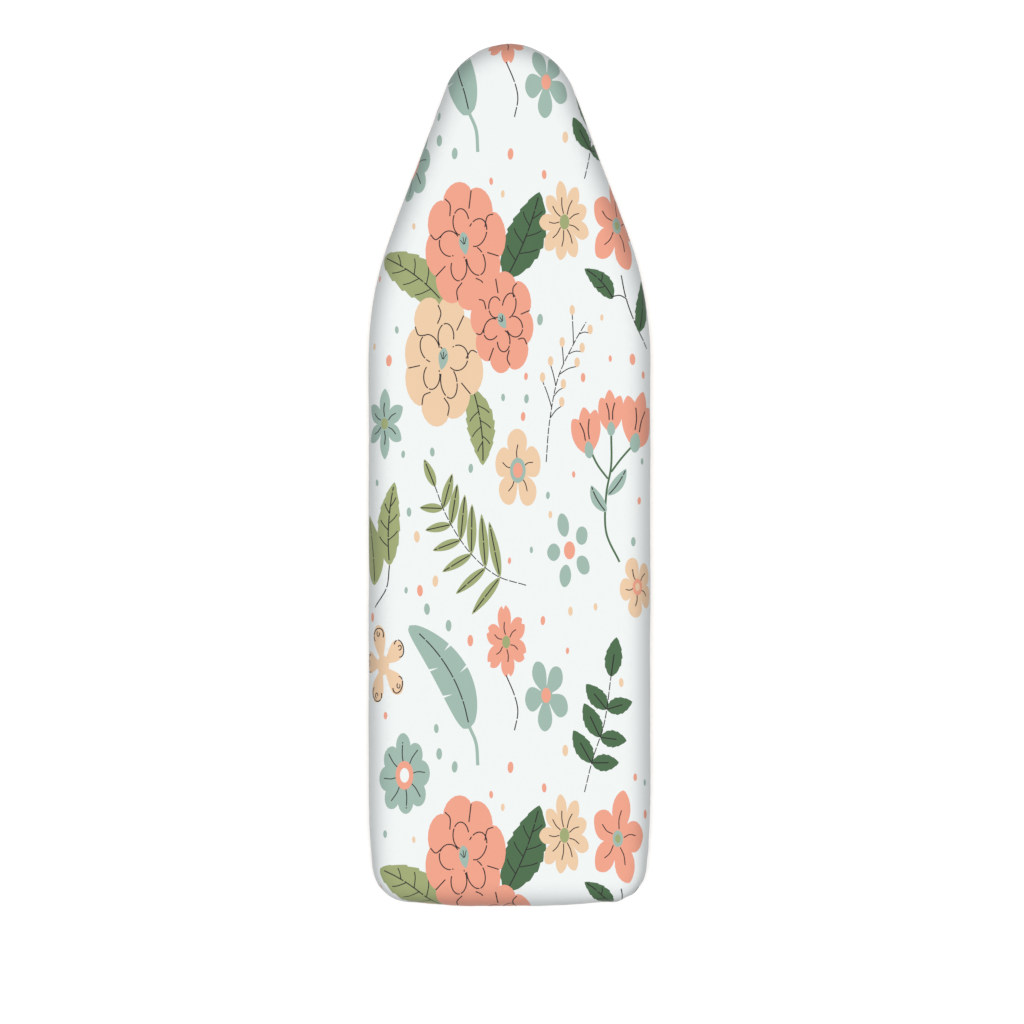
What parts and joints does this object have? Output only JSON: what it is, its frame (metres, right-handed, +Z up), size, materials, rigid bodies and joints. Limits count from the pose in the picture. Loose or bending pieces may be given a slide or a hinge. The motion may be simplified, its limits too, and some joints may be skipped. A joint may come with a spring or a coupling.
{
  "type": "folding sleeve ironing board",
  "caption": "Padded board with a rounded nose and a printed, elastic-hemmed cotton cover, on wire links that fold flat onto a wire base.",
  "frame": {"origin": "middle of the board's plan outline, on the surface that the rubber feet stand on", "axes": "+Y from the heel to the nose, +X to the right seen from above with the nose up, +Z up"},
  "size_m": [0.17, 0.52, 0.15],
  "materials": {
    "printed_cotton": "plain-weave cotton with a small botanical print",
    "hem_cotton": "cotton bias strip",
    "elastic": "braided elastic",
    "foam": "open-cell foam",
    "felt": "needled felt",
    "plywood": "sanded birch plywood",
    "coated_wire": "light grey powder coat",
    "coated_plate": "light grey powder coat",
    "zinc_steel": "bright zinc plate",
    "nylon": "natural nylon",
    "rubber": "moulded rubber"
  },
  "bodies": {
    "base": {"base_loop": "coated_wire", "crossbar_front": "coated_plate", "crossbar_rear": "coated_plate", "base_saddle_front_left": "zinc_steel", "base_saddle_front_right": "zinc_steel", "base_saddle_rear_left": "zinc_steel", "base_saddle_rear_right": "zinc_steel", "base_bushes": "nylon", "base_rivets": "zinc_steel", "stop_bracket_left": "zinc_steel", "stop_bracket_right": "zinc_steel", "feet_heel": "rubber", "feet_nose": "rubber"},
    "main_link": {"front_link": "coated_wire"},
    "back_link": {"rear_link": "coated_wire"},
    "top": {"fitted_cover": "printed_cotton", "hem_casing": "hem_cotton", "hem_elastic": "elastic", "foam_pad": "foam", "felt_underlay": "felt", "board_panel": "plywood", "top_saddle_front_left": "zinc_steel", "top_saddle_front_right": "zinc_steel", "top_saddle_rear_left": "zinc_steel", "top_saddle_rear_right": "zinc_steel", "top_bushes": "nylon", "pan_screws": "zinc_steel", "fold_buffers": "rubber"}
  },
  "joints": [
    {"name": "stand_fold", "type": "hinge", "parent": "base", "child": "main_link", "pos_m": [0, 0.015, 0.0207], "axis": [-1, 0, 0], "range_deg": [0, 90]},
    {"name": "back_link_fold", "type": "hinge", "parent": "base", "child": "back_link", "pos_m": [0, -0.145, 0.0207], "axis": [-1, 0, 0], "range_deg": [0, 90]},
    {"name": "top_level", "type": "hinge", "parent": "main_link", "child": "top", "pos_m": [0, 0.00029, 0.12537], "axis": [-1, 0, 0], "range_deg": [-90, 0]}
  ],
  "couplings": [
    {"joint": "back_link_fold", "follows": "stand_fold", "ratio": 1},
    {"joint": "top_level", "follows": "stand_fold", "ratio": -1}
  ]
}
